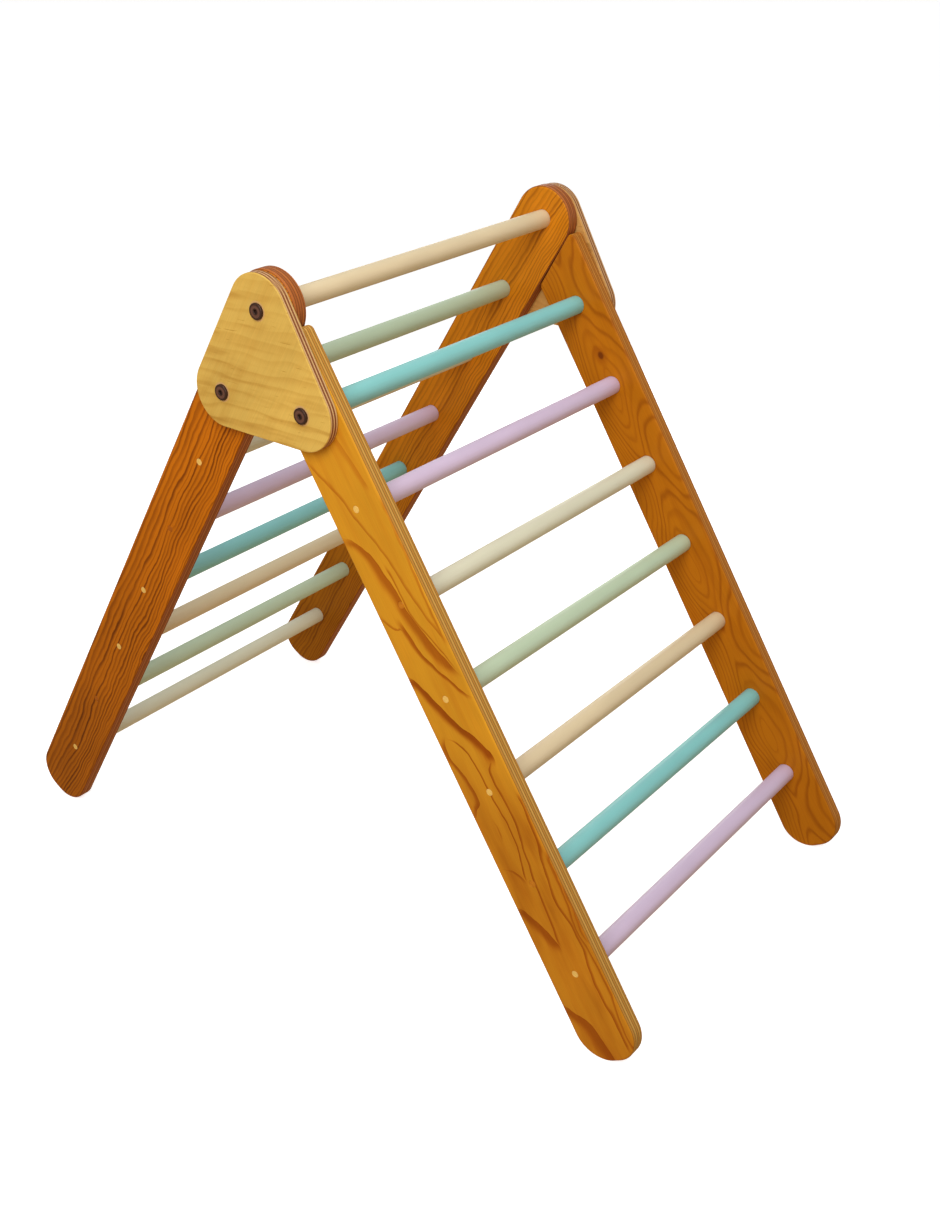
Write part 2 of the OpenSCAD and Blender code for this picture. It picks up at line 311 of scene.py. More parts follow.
def lathe(mesh, profile, centre, side, count=HOLE_SIDES):
    """Turns a profile of (radius, depth) round an axis along y; depth grows to the middle."""
    x, y, z = centre
    angles = [math.tau * i / count for i in range(count)]
    stack(mesh, [[(x + radius * math.cos(a), y - side * depth, z + radius * math.sin(a))
                  for a in angles] for radius, depth in profile])


def settle(piece):
    """Makes what a piece's modifiers give its own mesh."""
    graph = bpy.context.evaluated_depsgraph_get()
    data = bpy.data.meshes.new_from_object(piece.evaluated_get(graph))
    piece.modifiers.clear()
    piece.data = data


def cut(piece, tool):
    """Cuts a closed tool out of a piece and removes the tool."""
    modifier = piece.modifiers.new("Cut", "BOOLEAN")
    modifier.operation = "DIFFERENCE"
    modifier.solver = "EXACT"
    modifier.object = tool
    settle(piece)
    bpy.data.objects.remove(tool)


def shade(piece, sharp=BOARD_CORNER):
    """Smooth shading that stays flat on flat faces and breaks at corners above an angle."""
    piece.data.shade_smooth()
    piece.data.set_sharp_from_angle(angle=math.radians(sharp))
    modifier = piece.modifiers.new("Normals", "WEIGHTED_NORMAL")
    modifier.keep_sharp = True
    modifier.weight = 100


def dress(piece, material, body, slot, *nodes):
    """Gives a piece its material and body, in place of its CAD nodes; the slot is not used."""
    piece.data.materials.append(material)
    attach(piece, body)
    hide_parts(*nodes)


# ---- Node graphs ----
class Field:
    """A number that varies over a surface. Arithmetic on it adds Math nodes to its graph."""

    def __init__(self, graph, socket):
        self.graph = graph
        self.socket = socket

    def __add__(self, other):
        return self.graph.math("ADD", self, other)

    def __sub__(self, other):
        return self.graph.math("SUBTRACT", self, other)

    def __rsub__(self, other):
        return self.graph.math("SUBTRACT", other, self)

    def __mul__(self, other):
        return self.graph.math("MULTIPLY", self, other)

    def __truediv__(self, other):
        return self.graph.math("DIVIDE", self, other)

    __radd__ = __add__
    __rmul__ = __mul__


class Graph:
    """Node graph of a material or the world. Its methods add nodes and return what they put out.

    A graph that is given a frame reads places and directions in that frame.
    """

    def __init__(self, owner, place=Matrix()):
        self.owner = owner
        self.back = place.inverted()
        owner.use_nodes = True
        self.tree = owner.node_tree
        self.tree.nodes.clear()

    def add(self, kind, **settings):
        node = self.tree.nodes.new("ShaderNode" + kind)
        for key, value in settings.items():
            setattr(node, key, value)
        return node

    def plug(self, socket, value):
        if isinstance(value, Field):
            value = value.socket
        if isinstance(value, bpy.types.NodeSocket):
            self.tree.links.new(value, socket)
        else:
            socket.default_value = value

    def math(self, operation, *values, clamp=False):
        node = self.add("Math", operation=operation, use_clamp=clamp)
        for socket, value in zip(node.inputs, values):
            self.plug(socket, value)
        return Field(self, node.outputs[0])

    def place(self):
        """The place in millimetres, as three fields."""
        turned = self.add("Mapping", vector_type="POINT")
        turned.inputs["Location"].default_value = self.back.translation / MM
        turned.inputs["Rotation"].default_value = self.back.to_euler()
        turned.inputs["Scale"].default_value = (1 / MM,) * 3
        return self.split(turned, "Object")

    def direction(self):
        """The direction that the surface faces, as three fields."""
        turned = self.add("Mapping", vector_type="VECTOR")
        turned.inputs["Rotation"].default_value = self.back.to_euler()
        return self.split(turned, "Normal")

    def split(self, node, coordinate):
        """The three parts of a coordinate that a Mapping node has turned."""
        parts = self.add("SeparateXYZ")
        self.plug(node.inputs[0], self.add("TexCoord").outputs[coordinate])
        self.plug(parts.inputs[0], node.outputs[0])
        return [Field(self, socket) for socket in parts.outputs]

    def noise(self, x, y, z, detail=2.0, roughness=0.5):
        """Cloudy noise round 0, seldom past 0.3 on either side."""
        point = self.add("CombineXYZ")
        for socket, value in zip(point.inputs, (x, y, z)):
            self.plug(socket, value)
        node = self.add("TexNoise")
        for key, value in {"Vector": point.outputs[0], "Scale": 1.0, "Detail": detail,
                           "Roughness": roughness}.items():
            self.plug(node.inputs[key], value)
        return Field(self, node.outputs["Fac"]) - 0.5

    def chance(self, value):
        """Random number from 0 to 1 for each whole value."""
        node = self.add("TexWhiteNoise", noise_dimensions="1D")
        self.plug(node.inputs["W"], value)
        return Field(self, node.outputs["Value"])

    def rise(self, value, start, end):
        """0 up to start and 1 from end, with a smooth slope between."""
        node = self.add("MapRange", interpolation_type="SMOOTHSTEP")
        for key, item in {"Value": value, "From Min": start, "From Max": end}.items():
            self.plug(node.inputs[key], item)
        return Field(self, node.outputs["Result"])

    def mix(self, share, first, second, kind="MIX"):
        node = self.add("Mix", data_type="RGBA", blend_type=kind)
        for index, value in ((0, share), (6, first), (7, second)):
            self.plug(node.inputs[index], value)
        return node.outputs[2]

    def tone(self, colour_socket, amount):
        """Colour times a number that varies."""
        grey = self.add("CombineColor")
        for socket in grey.inputs[:3]:
            self.plug(socket, amount)
        return self.mix(1.0, colour_socket, grey.outputs[0], "MULTIPLY")

    def finish(self, base, roughness, height, depth, **sockets):
        """Adds the shader: colour, roughness, and a relief whose height 1 stands depth metres."""
        shader = self.add("BsdfPrincipled")
        self.plug(self.add("OutputMaterial").inputs["Surface"], shader.outputs["BSDF"])
        bump = self.add("Bump")
        bump.inputs["Strength"].default_value = 1.0
        bump.inputs["Distance"].default_value = depth
        self.plug(bump.inputs["Height"], height)
        self.plug(shader.inputs["Normal"], bump.outputs["Normal"])
        self.plug(shader.inputs["Base Color"], base)
        self.plug(shader.inputs["Roughness"], roughness)
        for key, value in sockets.items():
            shader.inputs[key.replace("_", " ")].default_value = value
        return self.owner


def new_graph(name, place=Matrix()):
    return Graph(bpy.data.materials.new(name), place)


def opaque(colour_value, gain=1.0):
    return tuple(c * gain for c in colour_value) + (1.0,)


# ---- Growth rings: each figure gives the darkness of the latewood ----
def rings(graph, turns, late, stop, salt=0.0):
    """Latewood of rings one turn apart: it darkens over about the share late and ends over stop."""
    whole = graph.math("FLOOR", turns)
    part = turns - whole
    width = late * (0.5 + graph.chance(whole + salt))
    dark = graph.rise(part, 1 - width, 1 - stop) * (1 - graph.rise(part, 1 - stop, 1.0))
    return dark * (0.45 + 0.55 * graph.chance(whole + (salt + 7.3)))


def ring_curve(graph, across, along, points, width, tone):
    """Latewood of one ring, drawn as a curve through (z, x): a sharp line that fades to one side.

    It fades over width millimetres, towards +x, or towards -x where width is negative.
    """
    curve = graph.add("FloatCurve")
    ends = points[0][0], points[-1][0]
    graph.plug(curve.inputs["Value"], (along - ends[0]) / (ends[1] - ends[0]))
    marks = curve.mapping.curves[0].points
    while len(marks) < len(points):
        marks.new(0.5, 0.5)
    for mark, (height, sideways) in zip(marks, points):
        mark.location = (height - ends[0]) / (ends[1] - ends[0]), sideways / 100 + 0.5
    curve.mapping.update()
    off = (across - (Field(graph, curve.outputs[0]) - 0.5) * 100) * math.copysign(1, width)
    reach = graph.rise(along, ends[1] - 3, ends[1] + 12) * graph.rise(
        along, ends[0] + 3, ends[0] - 12)
    line = graph.rise(off, -0.7, 0.5) * (1 - graph.rise(off, 0.4, 2.6))
    shade = graph.rise(off, -0.7, 0.5) * (1 - graph.rise(off, abs(width) * 0.3, abs(width)))
    return reach * tone * graph.math("MAXIMUM", 1.15 * line, 0.92 * shade)


# Rings of the front left rail: points (z, x) down the rail, the width that each fades over and its
# tone. Together they make long flames that end in points
FLAMES = [
    ([(-40, -37), (-57, -30), (-80, -18), (-107, -9), (-147, 5), (-207, 19), (-262, 36)], 5, 0.5),
    ([(-100, 39), (-180, 37.5), (-262, 35)], -4, 0.45),
    ([(-126, -38), (-134, -24), (-152, -9), (-185, 0), (-228, 8), (-262, 18),
      (-296, 36)], -17, 0.75),
    ([(-165, 2), (-200, 5.5), (-230, 9), (-262, 21), (-290, 33)], 3, 0.6),
    ([(-224, -12), (-240, -8), (-258, -4), (-275, 3), (-300, 20), (-322, 37)], -8, 0.8),
    ([(-212, -40), (-222, -34), (-231, -24), (-236, -15), (-244, -8)], 6, 0.6),
    ([(-278, -38), (-294, -25), (-318, -12), (-345, 2), (-368, 20), (-386, 27),
      (-394, 26)], -16, 0.95),
    ([(-384, 27), (-392, 18), (-400, 13), (-460, 15), (-500, 7), (-540, 2), (-600, -2)], 4, 0.7),
    ([(-353, -24), (-362, -13), (-384, -3), (-420, 0), (-478, 3), (-505, -4), (-524, -7)], 3, 0.75),
    ([(-352, -24), (-368, -32), (-400, -22), (-424, -19), (-436, -27), (-446, -37)], -8, 0.7),
    ([(-502, -38), (-504, -27), (-512, -14), (-525, -7)], -5, 0.65),
    ([(-545, -40), (-556, -26), (-580, -10), (-596, -2), (-604, -2)], -20, 0.8),
    ([(-425, 34), (-470, 33), (-515, 24), (-545, 19), (-590, 26), (-640, 20), (-690, 23),
      (-725, 23)], 5, 0.7),
    ([(-490, 38), (-540, 36), (-572, 31), (-600, 33), (-640, 37), (-690, 31),
      (-730, 33)], -4, 0.55),
    ([(-530, 38), (-560, 36), (-585, 35), (-600, 38)], 3, 0.4),
    ([(-660, -40), (-672, -26), (-690, -11), (-712, -5), (-740, 1)], -24, 0.8),
    ([(-450, -14), (-462, -13), (-475, -15)], 3, 0.45),
    ([(-25, 16), (-60, 24), (-95, 29)], -9, 0.4),
]


def flame_figure(graph, x, y, z):
    """Broad flames whose points run down the rail, over painted shade that darkens the rail towards
    its foot.
    """
    across = x + 7 * graph.noise(x / 20, y / 11 + 3.1, z / 34, 2)
    along = z + 10 * graph.noise(x / 14, y / 11 + 8.4, z / 40, 2)
    dark = 0.0
    for points, width, tone in FLAMES:
        dark = graph.math("MAXIMUM", dark, ring_curve(graph, across, along, points, width, tone))
    haze = graph.rise(graph.noise(x / 16, y / 11, z / 90, 3), -0.15, 0.3)
    # Painted shade: from 330 to 500 mm down, the rail darkens and its haze grows
    lower_shade = graph.rise(z, -330, -500)
    haze_and_lower_shade = haze * (0.12 + 0.2 * lower_shade) + 0.3 * lower_shade
    return graph.math("MAXIMUM", dark + (1 - dark) * haze_and_lower_shade, 0.0, clamp=True)


def oval_figure(graph, x, y, z):
    """Ovals nested round places along the rail, pinched between them."""
    across = x + 1.5 + 15 * graph.noise(x / 50, y / 14 + 8.7, z / 90, 2)
    waver = 90 * graph.noise(x / 40, y / 14 + 2.2, z / 160, 1)
    swell = 15 * graph.math("COSINE", (z + 330 + waver) / 37.4)
    radius = graph.math("SQRT", across * across + 36) - swell + 20
    return rings(graph, radius / (8 + 0.06 * x), 0.55, 0.25, 3.0) * 0.5


def straight_figure(graph, x, y, z, salt, strength):
    """Narrow, wavy rings that part and close up again, and lie wider apart to the rear."""
    wander = 20 * graph.noise(x / 90, y / 16 + salt, z / 170, 1) + 9 * graph.noise(
        x / 22, y / 16 + salt, z / 42, 2)
    inset = graph.math("MAXIMUM", 44 - (x + wander), 0.0)
    turns = graph.math("LOGARITHM", 1 + 0.03 * inset, math.e) / 0.072
    fade = 0.9 + 0.9 * graph.noise(x / 26, y / 16 + (salt + 5.5), z / 95, 1)
    return rings(graph, turns, 0.75, 0.25, salt) * fade * strength


def gusset_figure(graph, x, y, z):
    """Faint, wide, level rings of a peeled veneer, with short dark dashes along the grain."""
    along = x * math.cos(LEVEL) + z * math.sin(LEVEL)
    across = z * math.cos(LEVEL) - x * math.sin(LEVEL)
    warped = across + 26 * graph.noise(along / 90, y / 9, across / 34, 1)
    dash = graph.rise(graph.noise(along / 17, y / 3, across / 1.6, 1), 0.2, 0.3)
    cloud = graph.rise(graph.noise(along / 70, y / 9, across / 9, 2), -0.05, 0.3)
    ring = rings(graph, warped / 15, 0.8, 0.1, 5.0)
    return graph.math("MAXIMUM", 0.28 * ring + 0.4 * cloud, dash * 0.6)


# Turn of a level line in the rear ladder's frame
LEVEL = REAR.col[2].xyz.angle(Vector((0, 0, 1)))


def pine(name, place, early, late, ply_light, ply_dark, figure, middle_y, thickness, plies, grain,
         veneer=VENEER, foot=0.0, knots=(), seats=()):
    """Varnished plywood: figured face veneers, and plies that show wherever an edge cuts them.

    The face veneers are veneer millimetres thick, and lose the share foot of their lightness
    towards a rail's foot, as painted shade. Knots and seats, the pale rings round bolt heads, are
    given as x, z and radius in millimetres.
    """
    graph = new_graph(name, place)
    x, y, z = graph.place()
    ring = figure(graph, x, y, z)
    fibre = graph.noise(x / 0.7, y / 0.7, z / 30, 3, 0.6)
    streak = graph.noise(x / 13, y / 13, z / 210, 3)
    cloud = graph.noise(x / 45, y / 30, z / 110, 2)
    face = graph.mix(ring, opaque(early), opaque(late))
    face = graph.mix(graph.rise(streak, -0.05, 0.3) * 0.25, face, opaque(late))
    # Painted shade: the face darkens by the share foot from 350 to 800 mm down the rail
    face = graph.tone(face, (1 + 0.30 * fibre + 0.35 * cloud - 0.46 * ring * ring)
                      * (1 - foot * graph.rise(z, -350, -800)))
    for knot_x, knot_z, radius in knots:
        away = graph.math("SQRT", (x - knot_x) * (x - knot_x) + (z - knot_z) * (z - knot_z) * 0.6)
        face = graph.mix(1 - graph.rise(away, radius * 0.7, radius * 1.5), face,
                         (0.045, 0.012, 0.004, 1.0))
        face = graph.mix((1 - graph.rise(away, radius, radius * 4)) * 0.5, face, opaque(late))
    for seat_x, seat_z, radius in seats:
        away = graph.math("SQRT", (x - seat_x) * (x - seat_x) + (z - seat_z) * (z - seat_z))
        face = graph.mix((1 - graph.rise(away, radius + 1.2, radius + 2.2)) * 0.85, face,
                         graph.mix(0.15, opaque(ply_light), opaque(ply_dark)))

    ply = (thickness - 2 * veneer) / (plies - 2)
    depth = thickness / 2 - graph.math("ABSOLUTE", y - middle_y)
    layer = 1 + (depth - veneer) / ply + 0.08 * graph.noise(x / 40, y / 10, z / 40, 1)
    whole = graph.math("FLOOR", layer)
    part = layer - whole
    cross = graph.math("MODULO", whole, 2.0)
    nx, _, nz = graph.direction()
    facing = graph.math("ABSOLUTE", nx * grain[0] + nz * grain[1])
    end = graph.math("ABSOLUTE", cross - graph.rise(facing, 0.35, 0.95))
    tick = graph.noise(x / 1.1, y / 0.5, z / 1.1, 3, 0.7)
    side_grain = graph.tone(opaque(ply_light), 1 + 0.5 * graph.noise(x / 20, y / 0.6, z / 60, 2))
    end_grain = graph.tone(opaque(ply_dark), 1 + 0.7 * tick)
    edge = graph.mix(end, side_grain, end_grain)
    glue = 1 - graph.rise(graph.math("MINIMUM", part, 1 - part), 0.05, 0.2)
    edge = graph.tone(edge, 1 - 0.6 * glue)
    inside = graph.rise(layer, 0.97, 1.03)
    base = graph.mix(inside, face, edge)
    height = 0.5 * fibre - 0.15 * ring * (1 - inside) + inside * (0.6 * tick * end - 0.8 * glue)
    rough = 0.42 + 0.25 * graph.noise(x / 6, y / 6, z / 40, 2) + 0.12 * inside * end
    return graph.finish(base, rough, height, 0.00012, Specular_IOR_Level=0.1)


def painted(name, paint):
    """Satin paint on a turned dowel: the wood's fibres print through as a faint relief."""
    graph = new_graph(name)
    x, y, z = graph.place()
    fibre = graph.noise(x / 0.8, y / 45, z / 0.8, 2, 0.6)
    cloud = graph.noise(x / 25, y / 70, z / 25, 2)
    fleck = graph.noise(x / 1.6, y / 1.6, z / 1.6, 2)
    base = graph.tone(opaque(paint), 1 + 0.05 * fibre + 0.14 * cloud)
    rough = 0.46 + 0.22 * cloud + 0.1 * fleck
    height = fibre + 0.25 * fleck
    return graph.finish(base, rough, height, 0.00009, Coat_Weight=0.12, Coat_Roughness=0.35)


def plug_wood(name, paint):
    """End of a light wooden peg: fine rings and pores under varnish."""
    graph = new_graph(name)
    x, y, z = graph.place()
    pore = graph.noise(x / 0.5, y / 3, z / 0.5, 3, 0.7)
    ring = graph.noise(x / 3.5 + z / 9, y / 9, z / 2.2, 1)
    base = graph.tone(opaque(paint), 1 + 0.35 * pore + 0.5 * ring)
    return graph.finish(base, 0.45 + 0.3 * pore, pore, 0.0001, Specular_IOR_Level=0.2,
                        Coat_Weight=0.1, Coat_Roughness=0.25)


def bronzed(name, metal, place):
    """Dark bronzed steel with a fine turned grain and light patches of wear; the warmer, lighter
    ring round the socket is a painted highlight.
    """
    graph = new_graph(name, place)
    x, y, z = graph.place()
    radius = graph.math("SQRT", x * x + z * z)
    # Painted highlight: a lighter, warmer ring on the head round the socket
    painted_highlight_ring = graph.rise(radius, 3.0, 3.8) * (1 - graph.rise(radius, 5.6, 6.8))
    grain = graph.noise(x / 0.4, y / 0.4, z / 0.4, 3, 0.7)
    wear = graph.rise(graph.noise(x / 2.2, y / 2.2, z / 2.2, 3, 0.6), 0.02, 0.28)
    # The head is a darkened copy of the metal; the painted highlight ring and the patches of wear
    # use a brightened copy
    base = graph.mix(painted_highlight_ring * 0.75 + wear * 0.25, opaque(metal, 0.42), opaque(metal, 1.6))
    base = graph.tone(base, 1 + 0.4 * grain)
    return graph.finish(base, 0.40 + 0.35 * grain, grain, 0.00004, Metallic=0.5)


def zinc_plated(name, metal):
    """Bright zinc with the soft patches of its plating."""
    graph = new_graph(name)
    x, y, z = graph.place()
    patch = graph.noise(x / 1.2, y / 1.2, z / 1.2, 3, 0.6)
    base = graph.tone(opaque(metal), 1 + 0.5 * patch)
    return graph.finish(base, 0.34 + 0.3 * patch, patch, 0.00002, Metallic=1.0)


# ---- Boards ----
def rail_tool(rungs, bolted, place, side, outer, inner):
    """Tool that cuts every hole of a rail: the rungs' sockets and the holes of their fasteners."""
    size = shapes()
    mesh = bmesh.new()
    thick = outer - inner
    floor = thick - size.socket_depth
    rim = size.hole_rim
    socket = [(size.socket_radius, floor), (size.socket_radius, thick - rim),
              (size.socket_radius + rim + SPARE, thick + SPARE)]
    plug = [(size.plug_hole + rim + SPARE, -SPARE), (size.plug_hole, rim),
            (size.plug_hole, size.plug_hole_depth), (size.screw_hole, size.plug_hole_depth),
            (size.screw_hole, floor)]
    bolt = [(size.bolt_hole, -SPARE), (size.bolt_hole, floor)]
    for i, rung in enumerate(rungs):
        centre = place.inverted() @ middle(rung)
        centre.y = side * outer
        lathe(mesh, (bolt if i < bolted else plug) + socket, centre, side)
    return new_piece("tool", mesh, place)


def feet(half, foot, flat):
    """The two round corners of a foot that reaches down to a height."""
    radius = half - flat / 2
    return [(x, foot + radius, radius) for x in (-flat / 2, flat / 2)]


def rear_corners(low, high):
    """Corners of a rear rail: a foot, and a head round the rail's whole width."""
    half = high.x
    return feet(half, low.z, shapes().foot_flat) + [(0, high.z - half, half)]


def front_corners(low, high):
    """Corners of a front rail: a foot, and a top mitred to lie along the rear rail."""
    size = shapes()
    half = high.x
    tip_x, tip_z = half - size.tip_round, high.z - size.tip_round
    mitre = REAR.col[2].xyz.angle(FRONT.col[2].xyz) - size.mitre_relief
    level = size.tip_round + tip_z * math.sin(mitre) - tip_x * math.cos(mitre)
    heel_x = size.heel_round - half
    heel_z = (level - size.heel_round + heel_x * math.cos(mitre)) / math.sin(mitre)
    return feet(half, low.z, size.foot_flat) + [
        (tip_x, tip_z, size.tip_round), (heel_x, heel_z, size.heel_round)]


def rail(node, rungs, bolted, place, corners, body, slot, **wood):
    """One rail of a ladder, drilled for its rungs and fasteners."""
    side = SIDES[node.split("_")[-1]]
    low, high = extent(node, place)
    piece = board(node + "_board", corners(low, high), low.y, high.y, shapes().rail_edge, place)
    outer, inner = sorted((abs(low.y), abs(high.y)), reverse=True)
    cut(piece, rail_tool(rungs, bolted, place, side, outer, inner))
    shade(piece)
    material = pine(node + "_pine", place, middle_y=(low.y + high.y) / 2 / MM,
                    thickness=(high.y - low.y) / MM, plies=PLIES, grain=(0.0, 1.0), **wood)
    dress(piece, material, body, slot, node)


class TRIANGLE_OT_rear_rails(bpy.types.Operator):
    """Rear rails: pine plywood with narrow straight rings, round at both ends"""

    bl_idname = "triangle.rear_rails"
    bl_label = "Rear rails"

    def execute(self, context):
        wood = colours()
        # The last number is the share of painted shade towards each rail's foot
        for name, early, late, salt, strength, foot in (
            ("left", wood.rear_left_early, wood.rear_left_late, 0.0, 0.9, 0.25),
            ("right", wood.rear_right_early, wood.rear_right_late, 4.4, 0.65, 0.4),
        ):
            rail(f"rear_rail_{name}", REAR_RUNGS, REAR_BOLTED, REAR, rear_corners, "rear_frame",
                 "rear_rail_plywood", early=early, late=late, ply_light=wood.rear_ply_light,
                 ply_dark=wood.rear_ply_dark, veneer=REAR_VENEER, foot=foot,
                 figure=lambda graph, x, y, z: straight_figure(graph, x, y, z, salt, strength))
        return {"FINISHED"}


class TRIANGLE_OT_front_rails(bpy.types.Operator):
    """Front rails: pine plywood with broad flames, mitred at the top"""

    bl_idname = "triangle.front_rails"
    bl_label = "Front rails"

    def execute(self, context):
        wood = colours()
        # The last number is the share of painted shade towards each rail's foot
        for name, figure, foot in (("left", flame_figure, 0.0), ("right", oval_figure, 0.1)):
            tones = {part: getattr(wood, f"front_{name}_{part}")
                     for part in ("early", "late", "ply_light", "ply_dark")}
            rail(f"front_rail_{name}", FRONT_RUNGS, FRONT_BOLTED, FRONT, front_corners,
                 "front_frame", "front_rail_plywood", figure=figure, foot=foot,
                 knots=KNOTS[name], **tones)
        return {"FINISHED"}


class TRIANGLE_OT_gussets(bpy.types.Operator):
    """Gussets: pale plywood plates that join the ladders"""

    bl_idname = "triangle.gussets"
    bl_label = "Gussets"

    def execute(self, context):
        size = shapes()
        wood = colours()
        back = REAR.inverted()
        for name, side in SIDES.items():
            node = f"gusset_{name}"
            low, high = extent(node, REAR)
            radius = high.z
            bolts = [back @ middle(f"{bolt}_bolt_{name}") for bolt in ("rear", "pivot", "apex")]
            piece = board(node + "_plate", [(bolt.x, bolt.z, radius) for bolt in bolts], low.y,
                          high.y, size.gusset_edge, REAR)
            mesh = bmesh.new()
            outer = max(abs(low.y), abs(high.y))
            for bolt, hole in zip(bolts, (size.bolt_hole, size.pivot_hole, size.bolt_hole)):
                lathe(mesh, [(hole, -SPARE), (hole, high.y - low.y + SPARE)],
                      Vector((bolt.x, side * outer, bolt.z)), side)
            cut(piece, new_piece("tool", mesh, REAR))
            shade(piece)
            early, late = (getattr(wood, f"{node}_{part}") for part in ("early", "late"))
            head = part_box(f"apex_bolt_{name}")
            seat = (head[1].x - head[0].x) / 2 / MM
            material = pine(node + "_pine", REAR, early, late, wood.gusset_ply_light,
                            wood.gusset_ply_dark, gusset_figure, middle_y=(low.y + high.y) / 2 / MM,
                            thickness=(high.y - low.y) / MM, plies=PLIES,
                            grain=(math.cos(LEVEL), math.sin(LEVEL)),
                            seats=[(bolt.x / MM, bolt.z / MM, seat) for bolt in bolts])
            dress(piece, material, "rear_frame", "gusset_plywood", node)
        return {"FINISHED"}


# ---- Rungs and fasteners ----
class TRIANGLE_OT_rungs(bpy.types.Operator):
    """Rungs: painted dowels in five colours"""

    bl_idname = "triangle.rungs"
    bl_label = "Rungs"

    def execute(self, context):
        paints = {name: painted(name + "_paint", getattr(colours(), name))
                  for name in sorted(set(REAR_PAINTS))}
        for rung, name in zip(REAR_RUNGS + FRONT_RUNGS, REAR_PAINTS + FRONT_PAINTS):
            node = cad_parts[rung]
            node.material_slots[0].material = paints[name]
        return {"FINISHED"}


def bolt_profile(radius, total):
    """Profile of a flat-headed bolt, from the middle of its head to its tip.

    A fine groove is turned in the head, and the tip has a chamfer.
    """
    size = shapes()
    rim, shank = size.bolt_rim, size.bolt_shank
    middle_radius, ring, groove, chamfer = radius * 0.30, radius * 0.62, 0.12 * MM, 1 * MM
    steps = 6
    turns = [math.pi / 2 * i / steps for i in range(steps + 1)]
    head = [(middle_radius, 0), (ring - 2 * groove, 0), (ring, groove), (ring + 2 * groove, 0)]
    head += [(radius - rim + rim * math.sin(a), rim * (1 - math.cos(a))) for a in turns]
    return head + [(radius, size.bolt_head), (shank, size.bolt_head), (shank, total - chamfer),
                   (shank - chamfer, total)]


class TRIANGLE_OT_bolts(bpy.types.Operator):
    """Bolts: bronzed flat heads with hex sockets, on both gussets"""

    bl_idname = "triangle.bolts"
    bl_label = "Bolts"

    def execute(self, context):
        size = shapes()
        for place, body in (("apex", "rear_frame"), ("rear", "rear_frame"),
                            ("pivot", "front_frame")):
            material = bronzed(place + "_bolt_steel", colours().bronze,
                               Matrix.Translation(middle(f"{place}_bolt_left")))
            for name, side in SIDES.items():
                node = f"{place}_bolt_{name}"
                low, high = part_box(node)
                face = Vector((0, max(abs(low.y), abs(high.y)) * side, 0))
                centre = middle(node)
                spot = Matrix.Translation((centre.x, face.y, centre.z))
                mesh = bmesh.new()
                lathe(mesh, bolt_profile((high.x - low.x) / 2, high.y - low.y), (0, 0, 0), side,
                      BOLT_SIDES)
                piece = new_piece(node + "_turned", mesh, spot)
                key = bmesh.new()
                corner = size.bolt_key / 2 / math.cos(math.pi / HEX_SIDES)
                lead_in = [(corner * 1.3, -0.1 * MM), (corner, 0.3 * MM)]
                lathe(key, lead_in + [(corner, size.bolt_key_depth)], (0, 0, 0), side, HEX_SIDES)
                cut(piece, new_piece("tool", key, spot))
                shade(piece, TURNED_CORNER)
                dress(piece, material, body, "bronzed_steel", node)
        return {"FINISHED"}


class TRIANGLE_OT_hidden_steel(bpy.types.Operator):
    """Threaded inserts and rung screws, inside the rungs and rails"""

    bl_idname = "triangle.hidden_steel"
    bl_label = "Inserts and screws"

    def execute(self, context):
        material = zinc_plated("zinc_plated_steel", colours().zinc)
        for name in ("apex_inserts", "rear_inserts", "pivot_inserts", "rear_screws",
                     "front_screws"):
            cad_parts[name].material_slots[0].material = material
        return {"FINISHED"}


class TRIANGLE_OT_plugs(bpy.types.Operator):
    """Wooden plugs over the rung screws"""

    bl_idname = "triangle.plugs"
    bl_label = "Plugs"

    def execute(self, context):
        size = shapes()
        wood = colours()
        light = plug_wood("light_plug_wood", wood.plug)
        for ladder_name, rungs, bolted in (("rear", REAR_RUNGS, REAR_BOLTED),
                                           ("front", FRONT_RUNGS, FRONT_BOLTED)):
            early, late = (getattr(wood, f"{ladder_name}_left_{part}")
                           for part in ("early", "late"))
            dark_wood = [(a + b) / 2 for a, b in zip(early, late)]
            node = ladder_name + "_plugs"
            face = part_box(node)[1].y
            radius, edge = size.plug_radius, size.plug_edge
            flat, dome = radius * 0.55, 0.05 * MM
            profile = [(flat, 0), (radius - edge, dome), (radius, edge), (radius, size.plug_length)]
            mesh = bmesh.new()
            for i, rung in enumerate(rungs[bolted:], bolted):
                for name, side in SIDES.items():
                    centre = middle(rung)
                    centre.y = side * face
                    first = len(mesh.faces)
                    lathe(mesh, profile, centre, side, PLUG_SIDES)
                    mesh.faces.ensure_lookup_table()
                    dark = name == "left" and i in DARK_PLUGS[ladder_name]
                    for plug_face in mesh.faces[first:]:
                        plug_face.material_index = int(dark)
            piece = new_piece(node + "_turned", mesh)
            shade(piece, TURNED_CORNER)
            dress(piece, light, ladder_name + "_frame", "plug_wood", node)
            piece.data.materials.append(plug_wood(ladder_name + "_dark_plug_wood", dark_wood))
        return {"FINISHED"}


# ---- Stage ----
# Soft lights: name, place, height of the point that they look at, and side
LIGHTS = (
    ("key", (0.75, -1.5, 1.75), 0.45, 1.1),
    ("top", (0.25, 0.1, 2.85), 0.4, 1.4),
    ("fill", (-0.8, 1.7, 0.8), 0.4, 1.2),
)


def soft_light(name, place, height, side, power):
    """Square area light that looks at a point of the Z axis."""
    data = bpy.data.lights.new(name, "AREA")
    data.size = side
    data.energy = power
    light = bpy.data.objects.new(name, data)
    light.location = place
    look = Vector((0, 0, height)) - Vector(place)
    light.rotation_euler = look.to_track_quat("-Z", "Y").to_euler()
    bpy.context.scene.collection.objects.link(light)


